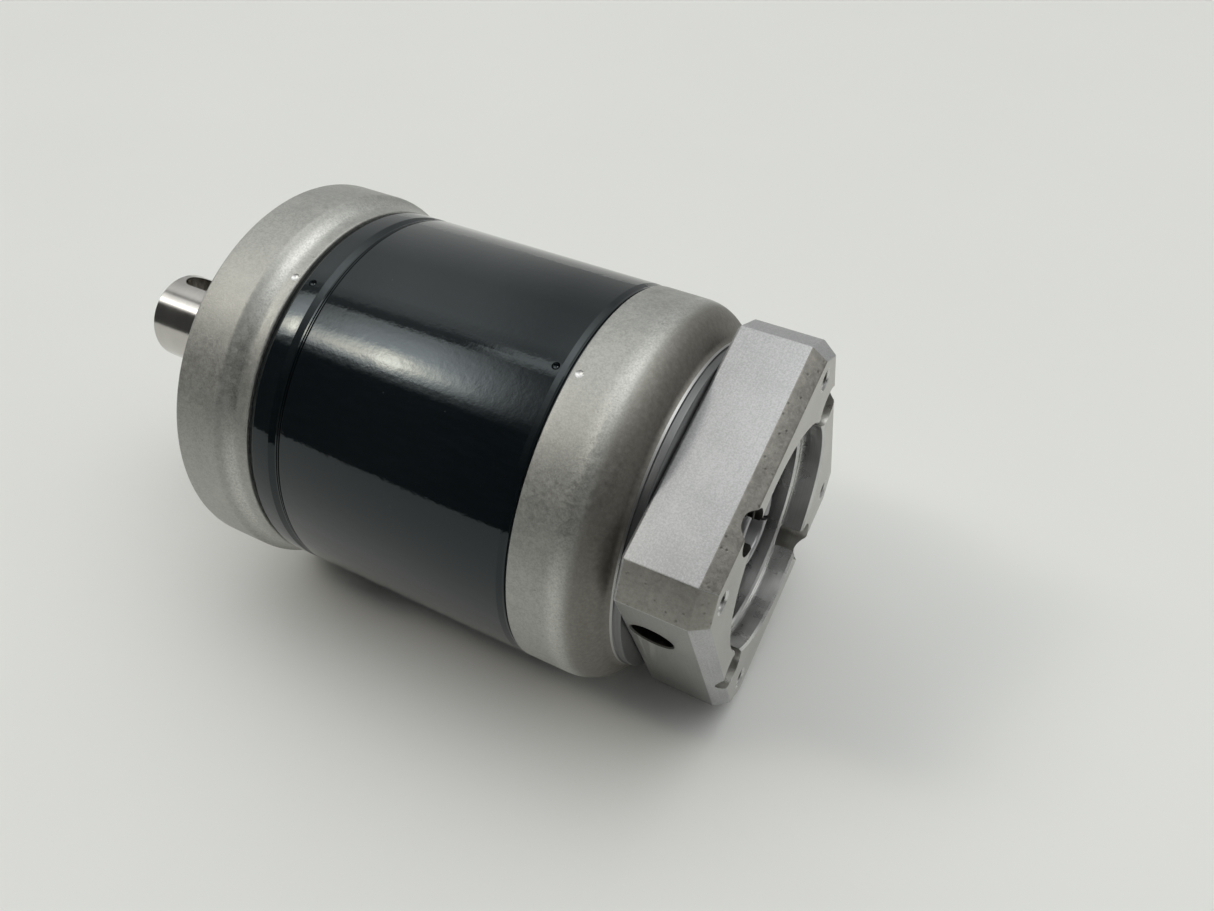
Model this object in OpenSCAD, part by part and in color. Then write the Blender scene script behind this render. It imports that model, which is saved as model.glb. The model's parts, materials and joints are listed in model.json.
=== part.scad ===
// Two-stage planetary gearbox with a keyed output shaft and a square motor adapter.
// The X axis is the shaft axis: X = 0 is the output mounting face, the output shaft points to -X
// and the motor adapter is at +X. Angles round the axis are measured from +Y towards +Z.

/* [Output flange] */
// Diameter of the output flange
flange_d = 90; // [88:0.5:92]
// Thickness of the flange band
flange_t = 11.5; // [10.5:0.5:13]
// Diameter of the output pilot boss
pilot_d = 68; // [66:0.5:70]
// Height of the output pilot boss
pilot_h = 5; // [3:0.5:6]
// Bolt circle of the tapped holes in the output face
output_pcd = 80; // [79:0.5:81]
// Radius of a tapped hole in the output face (M6)
output_tap_r = 2.5; // [2:0.1:2.6]

/* [Body] */
// Diameter of the ring gear tube and of the housings beside it
body_d = 85.6; // [84.6:0.2:86]
// Where the ring gear tube starts
tube_x0 = 17.8; // [17.4:0.1:18]
// Where the ring gear tube ends
tube_x1 = 82.5; // [82:0.25:83]
// Centre of the groove round the tube
groove_x = 25.4; // [23:0.2:28]
// Radius of the input housing's rounded shoulder
shoulder_r = 9.5; // [8.5:0.25:9.5]
// Where the input housing meets the adapter
joint_x = 104; // [103.5:0.25:104]

/* [Output shaft] */
// Diameter of the output shaft
shaft_d = 22; // [20:1:24]
// Length of the shaft beyond the output face
shaft_reach = 46; // [42:1:52]
// Width of the keyway
key_w = 6; // [5:0.5:6]
// Length of the keyway
key_l = 28; // [20:1:28]
// Angle of the keyway round the axis
key_angle = 75; // [0:5:180]

/* [Motor adapter] */
// Width of the adapter across its flats
adapter_w = 65; // [64:0.5:66]
// Thickness of the adapter
adapter_t = 18.5; // [18.5:0.5:20]
// Length of each cut corner's leg
corner_leg = 6.1; // [5:0.1:6.5]
// Angle of the adapter's square round the axis
adapter_turn = 22.5; // [0:2.5:45]
// Diameter of the motor pilot bore
motor_pilot_d = 50; // [48:1:50]
// Depth of the motor pilot bore
motor_pilot_h = 5; // [4:0.5:5]
// Bolt circle of the motor screws
motor_pcd = 70; // [69:0.5:71]
// Radius of a tapped hole for a motor screw (M5)
motor_tap_r = 2.1; // [1.6:0.1:2.1]
// Diameter of the motor shaft that the clamp hub takes
motor_shaft_d = 14; // [11:1:14]

/* [Gears] */
// Gear module, the same in both stages
gear_m = 1; // [1]
// Teeth of each sun
sun_z = 18; // [18]
// Teeth of each planet
planet_z = 27; // [27]
// Planets in each stage
planets = 3; // [3]
// How far each flank is set back for backlash
flank_back = 0.06; // [0.04:0.01:0.08]

/* [Hidden] */

fine = 96;      // segments of a round surface
eps = 0.01;     // overrun of a cut past a face

flange_r = flange_d / 2;
body_r = body_d / 2;
shaft_r = shaft_d / 2;
face_x = joint_x + adapter_t;              // motor mounting face

// Output end
seal_x0 = -pilot_h;
seal_w = 7;
seal_r = 21;                               // outside of the output seal
journal_r = 15;                            // front bearing seat and seal track on the shaft
collar_x = -10;                            // where the shaft steps down to its free end
front_x = 4;                               // front bearing, 30 x 55 x 13
front_w = 13;
front_r = 27.5;
rear_x = 18.5;                             // rear bearing, 40 x 68 x 15
rear_w = 15;
rear_journal_r = 20;
rear_r = 34;
spigot_r = 39;                             // spigots of both housings inside the tube
groove_d = 0.55;                           // depth of the groove round the tube
ring_x0 = rear_x + rear_w;                 // end of the output housing's spigot
o_ring_r = 0.8;                            // section radius of the O-rings
punch_angle = 90 + adapter_turn;           // line of the punched witness marks

// Gear train
ring_z = 2 * planet_z + sun_z;
centre_r = gear_m * (sun_z + planet_z) / 2;
carrier_r = 33;
web_r = 4.5;                               // webs that join a carrier's two discs
pin_r = 4;
needle_r = 1.22;
needle_at = 5.25;
needles = 12;
planet_bore_r = 6.5;
washer_r = 8.5;
first_planet = 90;                         // angle of planet 1 in both stages
out_disc_x = 34;                           // output carrier: front disc, gap for planets, rear disc
out_gap_x0 = 39;
out_gap_x1 = 54;
out_end_x = 58;
in_disc_x = 59;                            // input carrier, the same way
in_gap_x0 = 63;
in_gap_x1 = 76;
in_end_x = 79.5;
in_carrier_r = 30.5;
washer_t = 0.4;
planet_gap = 0.5;                          // from a disc to a planet's side face

// Input end
in_spigot_x = in_gap_x1;
in_bearing_x = 83.5;                       // input bearing, 25 x 52 x 15
in_bearing_w = 15;
hub_r = 12.5;
in_bearing_r = 26;
in_clip_x = 82;                            // groove of the input bearing's retaining ring
in_clip_w = 1.35;
in_seal_x = 100.5;
in_seal_w = 5;
in_seal_r = 20;
nose_x = 105.5;                            // end of the input housing's register nose
nose_r = 23.1;
neck_r = 36;                               // machined neck beside the adapter
adapter_bore_r = 23.2;
pilot_x = face_x - motor_pilot_h;
hub_end_x = 117;
hub_bore_x = 92;                           // bottom of the motor shaft bore
sleeve_r = 9.25;                           // slotted end of the hub
sleeve_x = 106;
collar_x0 = 106;
collar_w = 8;
clamp_x = collar_x0 + collar_w / 2;        // middle of the collar and its screw
clamp_off = 11.5;                          // clamp screw's distance from the shaft axis
clamp_collar_r = 17.5;
clamp_screw_r = 2;                         // M4 clamp screw
clamp_seat = 8;                            // from the collar's slit to the screw head's seat
access_r = 4.5;
screw_at = 29;                             // adapter screws, M5 socket heads in open pockets
pocket_r = 4.75;
pocket_x = 111;
screw_end_x = 93;

// Draws its children with their Z axis along the gearbox's X axis
module along_x(x = 0) {
    translate([x, 0, 0]) rotate([90, 0, 90]) children();
}

// A round bar along the gearbox axis, from x0 to x1
module bar(x0, x1, r, fn = fine) {
    along_x(x0) cylinder(h = x1 - x0, r = r, $fn = fn);
}

// A plain ring along the gearbox axis
module ring(x0, x1, r_in, r_out) {
    difference() {
        bar(x0, x1, r_out);
        bar(x0 - 1, x1 + 1, r_in);
    }
}

// A turned solid: points are [x, r]
module turned(points) {
    along_x() rotate_extrude($fn = fine) polygon([for (p = points) [p[1], p[0]]]);
}

// A torus round the gearbox axis
module hoop(x, r, section_r) {
    along_x(x) rotate_extrude($fn = fine) translate([r, 0]) circle(r = section_r, $fn = 32);
}

// Copies round the gearbox axis, the first at angle start
module around(count, start = 0) {
    for (k = [0 : count - 1]) rotate([start + 360 * k / count, 0, 0]) children();
}

// Points of an arc, from angle a0 to a1
function arc(cx, cy, r, a0, a1, steps = 12) =
    [for (i = [0 : steps]) let (a = a0 + (a1 - a0) * i / steps) [cx + r * cos(a), cy + r * sin(a)]];

// Involute geometry, in degrees and millimetres
function base_r(z) = gear_m * z / 2 * cos(20);
function inv_deg(a) = tan(a) * 180 / PI - a;
function half_angle(z, r, back) =
    90 / z - back / (gear_m * z / 2) * 180 / PI + inv_deg(20) - inv_deg(acos(min(1, base_r(z) / r)));

// Outline of a gear with z teeth and a tooth centred on angle turn
function gear_points(z, root, tip, back, turn, steps = 4) =
    let (start = max(root, base_r(z)))
    [for (k = [0 : z - 1], side = [-1, 1], i = [0 : steps + 1])
        let (j = side < 0 ? i : steps + 1 - i)
        let (r = j == 0 ? root : start + (tip - start) * (j - 1) / steps)
        let (a = turn + 360 * k / z + side * half_angle(z, max(r, start), back))
        [r * cos(a), r * sin(a)]];

module gear_disc(z, x0, x1, turn) {
    pitch = gear_m * z / 2;
    along_x(x0) linear_extrude(x1 - x0)
        polygon(gear_points(z, pitch - 1.25 * gear_m, pitch + gear_m, flank_back, turn));
}

// Angle of a tooth on the planet that sits at angle at, in mesh with the fixed ring
function planet_turn(at) = at - (ring_z * at - 180) / planet_z;

// Angle of a tooth on the sun, in mesh with every planet
sun_turn = ((sun_z + ring_z) * first_planet + 180) / sun_z;

// Deep-groove ball bearing: rings, balls and cage
function ball_at(r_in, r_out) = (r_in + r_out) / 2;
function ball_size(r_in, r_out) = (r_out - r_in) * 0.29;

module bearing_ring(x, w, edge_r, lip_r, r_in, r_out) {
    at = ball_at(r_in, r_out);
    difference() {
        ring(x, x + w, min(edge_r, lip_r), max(edge_r, lip_r));
        hoop(x + w / 2, at, ball_size(r_in, r_out) + 0.05);
    }
}

module bearing_outer(x, w, r_in, r_out) {
    bearing_ring(x, w, r_out, ball_at(r_in, r_out) + ball_size(r_in, r_out) * 0.72, r_in, r_out);
}

module bearing_inner(x, w, r_in, r_out) {
    bearing_ring(x, w, r_in, ball_at(r_in, r_out) - ball_size(r_in, r_out) * 0.72, r_in, r_out);
}

module bearing_balls(x, w, r_in, r_out, count) {
    around(count) translate([x + w / 2, ball_at(r_in, r_out), 0])
        sphere(r = ball_size(r_in, r_out), $fn = 48);
}

module bearing_cage(x, w, r_in, r_out, count) {
    size = ball_size(r_in, r_out);
    at = ball_at(r_in, r_out);
    difference() {
        ring(x + w / 2 - size - 0.8, x + w / 2 + size + 0.8, at - 1, at + 1);
        around(count) translate([x + w / 2, at - 3, 0]) rotate([-90, 0, 0])
            cylinder(h = 6, r = size + 0.1, $fn = 32);
    }
}

// A small round dimple punched into a surface of radius r
module punch_mark(x, r) {
    rotate([punch_angle, 0, 0]) translate([x, r + 0.3, 0]) sphere(r = 0.9, $fn = 32);
}

// Housings ---------------------------------------------------------------------------------------

// Groove for an O-ring round a spigot, centred at x
module o_ring_groove(x) {
    ring(x - 1.2, x + 1.2, spigot_r - 2 * o_ring_r - 0.1, spigot_r + 1);
}

module output_housing() {
    foot = 12.8;                           // where the flange has blended down to the body diameter
    blend = 3.4;
    outline = concat(
        [[-pilot_h, pilot_d / 2 - 0.5], [-pilot_h + 0.5, pilot_d / 2], [0, pilot_d / 2]],
        [[0, flange_r - 0.6], [0.6, flange_r]],
        arc(flange_t - 1.2, flange_r - 1.2, 1.2, 90, 30, 6),
        arc(foot + 2.2, body_r + blend, blend, 240, 270, 6),
        [[tube_x0 - 0.3, body_r], [tube_x0, body_r - 0.3], [tube_x0, spigot_r]],
        [[ring_x0, spigot_r], [ring_x0, 1], [-pilot_h, 1]]);
    color("silver") difference() {
        turned(outline);
        bar(-pilot_h - 1, seal_x0 + seal_w, seal_r);
        bar(seal_x0 + seal_w - eps, front_x, journal_r + 8);
        bar(front_x - eps, rear_x, front_r);
        bar(rear_x - eps, ring_x0 + 1, rear_r);
        o_ring_groove(tube_x0 + 5.2);
        around(4, 45) translate([0, output_pcd / 2, 0]) bar(-1, 11, output_tap_r, 32);
        punch_mark(tube_x0 - 1.25, body_r);
    }
}

module ring_gear() {
    cavity_tip = gear_m * ring_z / 2 + 1.25 * gear_m;
    cavity_root = gear_m * ring_z / 2 - gear_m;
    // chamfered end, stepped groove, then a stepped end against the input housing
    outline = [
        [tube_x0, 20], [tube_x0, body_r - 0.85], [tube_x0 + 1.75, body_r],
        [groove_x - 1.6, body_r], [groove_x - 0.1, body_r - groove_d],
        [groove_x + 0.4, body_r - groove_d], [groove_x + 0.7, body_r - groove_d / 2],
        [groove_x + 1.05, body_r - groove_d / 2], [groove_x + 1.4, body_r],
        [tube_x1 - 2.1, body_r], [tube_x1 - 1.05, body_r - 0.45], [tube_x1 - 0.6, body_r - 0.45],
        [tube_x1 - 0.45, body_r - 0.85], [tube_x1, body_r - 0.85], [tube_x1, 20]];
    color([0.06, 0.07, 0.08]) difference() {
        turned(outline);
        bar(tube_x0 - 1, ring_x0 + 0.5, spigot_r);
        bar(in_spigot_x - 0.5, tube_x1 + 1, spigot_r);
        along_x(tube_x0 - 1) linear_extrude(tube_x1 - tube_x0 + 2)
            polygon(gear_points(ring_z, cavity_root, cavity_tip, -flank_back, 180 / ring_z));
        punch_mark(tube_x0 + 3.4, body_r);
        punch_mark(tube_x1 - 3.2, body_r);
    }
}

module input_housing() {
    shoulder_x = 101.7 - shoulder_r;       // centre of the rounded shoulder
    shoulder_c = body_r - shoulder_r;
    dip = 1.6;                             // fillet at the foot of the shoulder
    dip_x = shoulder_x + (shoulder_r + dip) * cos(25);
    dip_r = shoulder_c + (shoulder_r + dip) * sin(25);
    outline = concat(
        [[in_spigot_x, 1], [in_spigot_x, spigot_r], [tube_x1, spigot_r]],
        [[tube_x1, body_r - 0.3], [tube_x1 + 0.3, body_r]],
        arc(shoulder_x, shoulder_c, shoulder_r, 90, 25),
        arc(dip_x, dip_r, dip, 205, 265, 6),
        [[dip_x + 0.3, neck_r], [joint_x, neck_r], [joint_x, nose_r], [nose_x, nose_r], [nose_x, 1]]);
    color("silver") difference() {
        turned(outline);
        bar(in_spigot_x - 1, in_clip_x - 0.5, in_carrier_r + 1);
        bar(in_clip_x - 1, in_bearing_x + in_bearing_w, in_bearing_r);
        bar(in_bearing_x + in_bearing_w - eps, in_seal_x, in_seal_r - 2);
        bar(in_seal_x - eps, nose_x + 1, in_seal_r);
        ring(in_clip_x, in_clip_x + in_clip_w, in_bearing_r - 1, in_bearing_r + 1.2);
        o_ring_groove(tube_x1 - 2.8);
        around(4, 45) translate([0, screw_at, 0]) bar(screw_end_x - 1, joint_x + 1, 2.5, 32);
        punch_mark(tube_x1 + 1.85, body_r);
    }
}

// Octagonal outline of the adapter at half-width a with corner legs c
function octagon(a, c) = [for (k = [0 : 3], s = [-1, 1])
    [a * cos(90 * k) - s * (a - c) * sin(90 * k), a * sin(90 * k) + s * (a - c) * cos(90 * k)]];

// The adapter's square block, with its front edge bevelled all round
module adapter_block() {
    half = adapter_w / 2;
    bevel_in = 2.1;
    bevel_x = 3.2;
    back_break = 0.6;
    rotate([adapter_turn, 0, 0]) hull() {
        along_x(joint_x) linear_extrude(0.1) polygon(octagon(half - back_break, corner_leg));
        along_x(joint_x + back_break) linear_extrude(adapter_t - back_break - bevel_x)
            polygon(octagon(half, corner_leg));
        along_x(face_x - 0.1) linear_extrude(0.1)
            polygon(octagon(half - bevel_in, corner_leg - bevel_in * (2 - sqrt(2))));
    }
}

// Places its children on the clamp screw's line, with Z pointing out through the access hole
module on_clamp_line() {
    rotate([adapter_turn + 180, 0, 0]) translate([clamp_x, 0, -clamp_off]) rotate([-90, 0, 0])
        children();
}

module motor_adapter() {
    color([0.72, 0.73, 0.74]) difference() {
        adapter_block();
        bar(joint_x - 1, pilot_x + 1, adapter_bore_r);
        bar(pilot_x, face_x + 1, motor_pilot_d / 2);
        turned([[face_x - 0.5, motor_pilot_d / 2 - 1], [face_x - 0.5, motor_pilot_d / 2],
                [face_x + 0.1, motor_pilot_d / 2 + 0.6], [face_x + 0.1, motor_pilot_d / 2 - 1]]);
        around(4, 45) translate([0, screw_at, 0]) {
            bar(pocket_x, face_x + 1, pocket_r, 48);
            bar(joint_x - 1, pocket_x + 1, 2.75, 32);
        }
        around(4, adapter_turn + 45) translate([0, motor_pcd / 2, 0])
            bar(face_x - 12, face_x + 1, motor_tap_r, 32);
        on_clamp_line() translate([0, 0, 15]) cylinder(h = 30, r = access_r, $fn = 48);
    }
}

// Four socket-head screws that hold the adapter to the input housing
module adapter_screws() {
    color("dimgray") around(4, 45) translate([0, screw_at, 0]) difference() {
        union() {
            bar(screw_end_x, pocket_x + 1, 2.45, 32);
            bar(pocket_x, pocket_x + 5, 4.25, 48);
        }
        bar(pocket_x + 2.4, pocket_x + 6, 2.3, 6);
    }
}

// Seals and O-rings ------------------------------------------------------------------------------

// A lip seal: an outer case, a web and a lip that stays just clear of its shaft
module lip_seal(x, w, r_out, r_shaft) {
    turned([[x, r_out], [x + w, r_out], [x + w, r_out - 1], [x + 1.4, r_out - 1],
            [x + 1.4, r_shaft + 1.6], [x + w - 2, r_shaft + 1.2], [x + w - 1, r_shaft + 0.8],
            [x + w - 2.2, r_shaft + 0.05], [x + w - 3, r_shaft + 0.5], [x, r_shaft + 0.5]]);
}

module output_seal() {
    color([0.13, 0.13, 0.14]) lip_seal(seal_x0, seal_w, seal_r, journal_r);
}

module output_seal_spring() {
    color("silver") hoop(seal_x0 + seal_w - 2.2, journal_r + 1.85, 0.5);
}

module input_seal() {
    color([0.13, 0.13, 0.14]) lip_seal(in_seal_x, in_seal_w, in_seal_r, hub_r);
}

module input_seal_spring() {
    color("silver") hoop(in_seal_x + in_seal_w - 2.2, hub_r + 1.85, 0.5);
}

module output_o_ring() {
    color([0.1, 0.1, 0.1]) hoop(tube_x0 + 5.2, spigot_r - o_ring_r - 0.05, o_ring_r);
}

module input_o_ring() {
    color([0.1, 0.1, 0.1]) hoop(tube_x1 - 2.8, spigot_r - o_ring_r - 0.05, o_ring_r);
}

// Output shaft and its bearings ------------------------------------------------------------------

// A carrier's two discs and the webs between them, with holes for the planet pins
module carrier_cage(disc_x, gap_x0, gap_x1, end_x, r) {
    difference() {
        union() {
            bar(disc_x, gap_x0, r);
            bar(gap_x1, end_x, r);
            around(planets, first_planet + 60) translate([0, r - web_r - 1, 0])
                bar(gap_x0 - 1, gap_x1 + 1, web_r, 48);
        }
        around(planets, first_planet) translate([0, centre_r, 0]) bar(disc_x - 1, end_x + 1, pin_r, 48);
        bar(gap_x1 - 1, end_x + 1, sun_z * gear_m / 2 + 3);
    }
}

module output_shaft() {
    key_depth = 3.5;
    key_gap = 2.5;                         // from the shaft's end to the keyway
    end_tap_r = 3.4;                       // M8 thread at its tap drill size
    color([0.7, 0.7, 0.7]) union() {
        difference() {
            turned([[-shaft_reach, 0], [-shaft_reach, shaft_r - 0.6], [-shaft_reach + 0.6, shaft_r],
                    [collar_x, shaft_r], [collar_x, journal_r - 0.8], [collar_x + 0.8, journal_r],
                    [front_x - 1.55, journal_r], [front_x - 1.55, journal_r - 0.8],
                    [front_x, journal_r - 0.8], [front_x, journal_r], [front_x + front_w, journal_r],
                    [front_x + front_w, rear_journal_r], [ring_x0, rear_journal_r],
                    [ring_x0, rear_journal_r + 2], [out_disc_x + 0.5, rear_journal_r + 2],
                    [out_disc_x + 0.5, 0]]);
            rotate([key_angle, 0, 0]) translate([0, shaft_r - key_depth, 0])
                rotate([-90, 0, 0]) linear_extrude(key_depth + 1) {
                    translate([-shaft_reach + key_gap + key_w / 2, -key_w / 2])
                        square([key_l - key_w, key_w]);
                    for (x = [key_w / 2, key_l - key_w / 2])
                        translate([-shaft_reach + key_gap + x, 0]) circle(d = key_w, $fn = 48);
                }
            bar(-shaft_reach - 1, -shaft_reach + 16, end_tap_r, 32);
            turned([[-shaft_reach - 0.1, 0], [-shaft_reach - 0.1, end_tap_r + 1],
                    [-shaft_reach + 0.9, end_tap_r], [-shaft_reach + 0.9, 0]]);
        }
        carrier_cage(out_disc_x, out_gap_x0, out_gap_x1, out_end_x, carrier_r);
    }
}

// An external retaining ring that opens at one point
module circlip(x0, x1, r_in, r_out, gap_angle) {
    difference() {
        ring(x0, x1, r_in, r_out);
        rotate([gap_angle, 0, 0]) translate([x0 - 1, 0, -1.5]) cube([x1 - x0 + 2, r_out + 1, 3]);
    }
}

module output_circlip() {
    color("dimgray") circlip(front_x - 1.5, front_x - 0.05, journal_r - 0.8, journal_r + 3, 200);
}

module front_bearing_outer() {
    color("silver") bearing_outer(front_x, front_w, journal_r, front_r);
}

module front_bearing_inner() {
    color("silver") bearing_inner(front_x, front_w, journal_r, front_r);
}

module front_bearing_balls() {
    color("gainsboro") bearing_balls(front_x, front_w, journal_r, front_r, 11);
}

module front_bearing_cage() {
    color("goldenrod") bearing_cage(front_x, front_w, journal_r, front_r, 11);
}

module rear_bearing_outer() {
    color("silver") bearing_outer(rear_x, rear_w, rear_journal_r, rear_r);
}

module rear_bearing_inner() {
    color("silver") bearing_inner(rear_x, rear_w, rear_journal_r, rear_r);
}

module rear_bearing_balls() {
    color("gainsboro") bearing_balls(rear_x, rear_w, rear_journal_r, rear_r, 13);
}

module rear_bearing_cage() {
    color("goldenrod") bearing_cage(rear_x, rear_w, rear_journal_r, rear_r, 13);
}

// Planets, suns and the input carrier ------------------------------------------------------------

module planet_pins(x0, x1) {
    color("gray") around(planets, first_planet) translate([0, centre_r, 0]) bar(x0, x1, pin_r, 48);
}

module planet_needles(x0, x1) {
    color("gainsboro") around(planets, first_planet) translate([0, centre_r, 0])
        around(needles) translate([0, needle_at, 0]) bar(x0, x1, needle_r, 24);
}

module planet_washers(x0, x1) {
    color("peru") around(planets, first_planet) translate([0, centre_r, 0]) {
        ring(x0, x0 + washer_t, pin_r + 0.05, washer_r);
        ring(x1 - washer_t, x1, pin_r + 0.05, washer_r);
    }
}

module planet(x0, x1, k) {
    at = first_planet + 360 * (k - 1) / planets;
    color([0.5, 0.5, 0.52]) translate([0, centre_r * cos(at), centre_r * sin(at)]) difference() {
        gear_disc(planet_z, x0 + planet_gap, x1 - planet_gap, planet_turn(at));
        bar(x0, x1, planet_bore_r, 64);
    }
}

module output_planet_pins() {
    planet_pins(out_disc_x + 0.5, out_end_x - 0.3);
}

module output_planet_needles() {
    planet_needles(out_gap_x0 + 1, out_gap_x1 - 1);
}

module output_planet_washers() {
    planet_washers(out_gap_x0 + 0.03, out_gap_x1 - 0.03);
}

module output_planet_1() { planet(out_gap_x0, out_gap_x1, 1); }
module output_planet_2() { planet(out_gap_x0, out_gap_x1, 2); }
module output_planet_3() { planet(out_gap_x0, out_gap_x1, 3); }

// Second-stage sun, pressed by its stem into the input carrier
module output_sun() {
    color([0.5, 0.5, 0.52]) union() {
        gear_disc(sun_z, out_gap_x0 + 1, out_gap_x1 + 1, sun_turn);
        bar(out_gap_x1 + 0.5, in_disc_x + 0.2, 7.5);
        bar(in_disc_x - 1, in_gap_x0 - 0.2, 6);
    }
}

module input_carrier() {
    color([0.62, 0.62, 0.64]) difference() {
        carrier_cage(in_disc_x, in_gap_x0, in_gap_x1, in_end_x, in_carrier_r);
        bar(in_disc_x - 1, in_gap_x0 + 1, 6);
        bar(in_disc_x - 1, in_disc_x + 0.2, 7.5);
    }
}

// Bronze washer between the two carriers, seated on the input carrier
module carrier_thrust_washer() {
    color("peru") ring(in_disc_x - 0.8, in_disc_x, 13, 20);
}

module input_planet_pins() {
    planet_pins(in_disc_x + 0.3, in_end_x - 0.3);
}

module input_planet_needles() {
    planet_needles(in_gap_x0 + 1, in_gap_x1 - 1);
}

module input_planet_washers() {
    planet_washers(in_gap_x0 + 0.03, in_gap_x1 - 0.03);
}

module input_planet_1() { planet(in_gap_x0, in_gap_x1, 1); }
module input_planet_2() { planet(in_gap_x0, in_gap_x1, 2); }
module input_planet_3() { planet(in_gap_x0, in_gap_x1, 3); }

// Input hub, its bearing and the motor clamp -----------------------------------------------------

// First-stage sun, pressed by its stem into the hub
module input_sun() {
    color([0.5, 0.5, 0.52]) union() {
        gear_disc(sun_z, in_gap_x0 + 0.8, in_gap_x1, sun_turn);
        bar(in_gap_x1 - 0.5, hub_bore_x - 0.5, 5);
    }
}

module input_hub() {
    groove_r = hub_r - 0.8;
    clip_x = in_bearing_x + in_bearing_w;
    color([0.45, 0.45, 0.47]) difference() {
        turned([[80.5, 0], [80.5, hub_r + 2], [in_bearing_x, hub_r + 2], [in_bearing_x, hub_r],
                [clip_x, hub_r], [clip_x, groove_r], [clip_x + 1.35, groove_r], [clip_x + 1.35, hub_r],
                [sleeve_x - 0.3, hub_r], [sleeve_x - 0.3, sleeve_r],
                [hub_end_x - 0.5, sleeve_r], [hub_end_x, sleeve_r - 0.5], [hub_end_x, 0]]);
        bar(80, hub_bore_x + 1, 5);
        bar(hub_bore_x, hub_end_x + 1, motor_shaft_d / 2);
        for (a = [0, 90]) rotate([adapter_turn + 45 + a, 0, 0])
            translate([sleeve_x - 2, -sleeve_r - 1, -0.6]) cube([hub_end_x, 2 * sleeve_r + 2, 1.2]);
    }
}

module hub_circlip() {
    clip_x = in_bearing_x + in_bearing_w;
    color("dimgray") circlip(clip_x + 0.03, clip_x + 1.3, hub_r - 0.8, hub_r + 2.6, 30);
}

// Split collar that squeezes the hub's slotted end onto the motor shaft
module clamp_collar() {
    color([0.35, 0.35, 0.37]) difference() {
        bar(collar_x0, collar_x0 + collar_w, clamp_collar_r);
        bar(collar_x0 - 1, collar_x0 + collar_w + 1, sleeve_r + 0.02);
        on_clamp_line() {
            translate([0, 0, -30]) cylinder(h = 60, r = clamp_screw_r + 0.05, $fn = 32);
            translate([0, 0, clamp_seat]) cylinder(h = 20, r = 3.6, $fn = 48);
        }
        rotate([adapter_turn + 180, 0, 0]) translate([collar_x0 - 1, -0.8, -clamp_collar_r - 1])
            cube([collar_w + 2, 1.6, clamp_collar_r + 1]);
    }
}

module clamp_screw() {
    color([0.15, 0.15, 0.16]) on_clamp_line() difference() {
        union() {
            translate([0, 0, -10]) cylinder(h = clamp_seat + 10.5, r = clamp_screw_r, $fn = 32);
            translate([0, 0, clamp_seat]) cylinder(h = 4, r = 3.5, $fn = 48);
        }
        translate([0, 0, clamp_seat + 2]) cylinder(h = 3, r = 1.75, $fn = 6);
    }
}

module input_bearing_outer() {
    color("silver") bearing_outer(in_bearing_x, in_bearing_w, hub_r, in_bearing_r);
}

module input_bearing_inner() {
    color("silver") bearing_inner(in_bearing_x, in_bearing_w, hub_r, in_bearing_r);
}

module input_bearing_balls() {
    color("gainsboro") bearing_balls(in_bearing_x, in_bearing_w, hub_r, in_bearing_r, 9);
}

module input_bearing_cage() {
    color("goldenrod") bearing_cage(in_bearing_x, in_bearing_w, hub_r, in_bearing_r, 9);
}

// Internal retaining ring that holds the input bearing in its housing
module input_bearing_circlip() {
    color("dimgray") circlip(in_clip_x + 0.03, in_clip_x + in_clip_w - 0.03,
                             in_bearing_r - 3, in_bearing_r + 1.15, 150);
}

// What is drawn -----------------------------------------------------------------------------------

output_housing();
ring_gear();
input_housing();
motor_adapter();
adapter_screws();
output_seal();
output_seal_spring();
output_o_ring();
input_o_ring();
output_shaft();
output_circlip();
front_bearing_outer();
front_bearing_inner();
front_bearing_balls();
front_bearing_cage();
rear_bearing_outer();
rear_bearing_inner();
rear_bearing_balls();
rear_bearing_cage();
output_planet_pins();
output_planet_needles();
output_planet_washers();
output_planet_1();
output_planet_2();
output_planet_3();
output_sun();
input_carrier();
carrier_thrust_washer();
input_planet_pins();
input_planet_needles();
input_planet_washers();
input_planet_1();
input_planet_2();
input_planet_3();
input_sun();
input_hub();
hub_circlip();
clamp_collar();
clamp_screw();
input_bearing_outer();
input_bearing_inner();
input_bearing_balls();
input_bearing_cage();
input_bearing_circlip();
input_seal();
input_seal_spring();
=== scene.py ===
"""Looks of the two-stage planetary gearbox.

Blasted housings, a gloss black tube, a milled adapter block and a ground shaft replace their CAD nodes. The
other nodes are the frame's own, with the finish of their material slot.

Lengths are in millimetres until MM turns them into metres. X is the shaft axis, as in the frame. A place
round the shaft is an angle in degrees from +Y towards +Z.
"""
import json
import math

import bmesh
import bpy
from mathutils import Matrix, Vector


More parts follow.
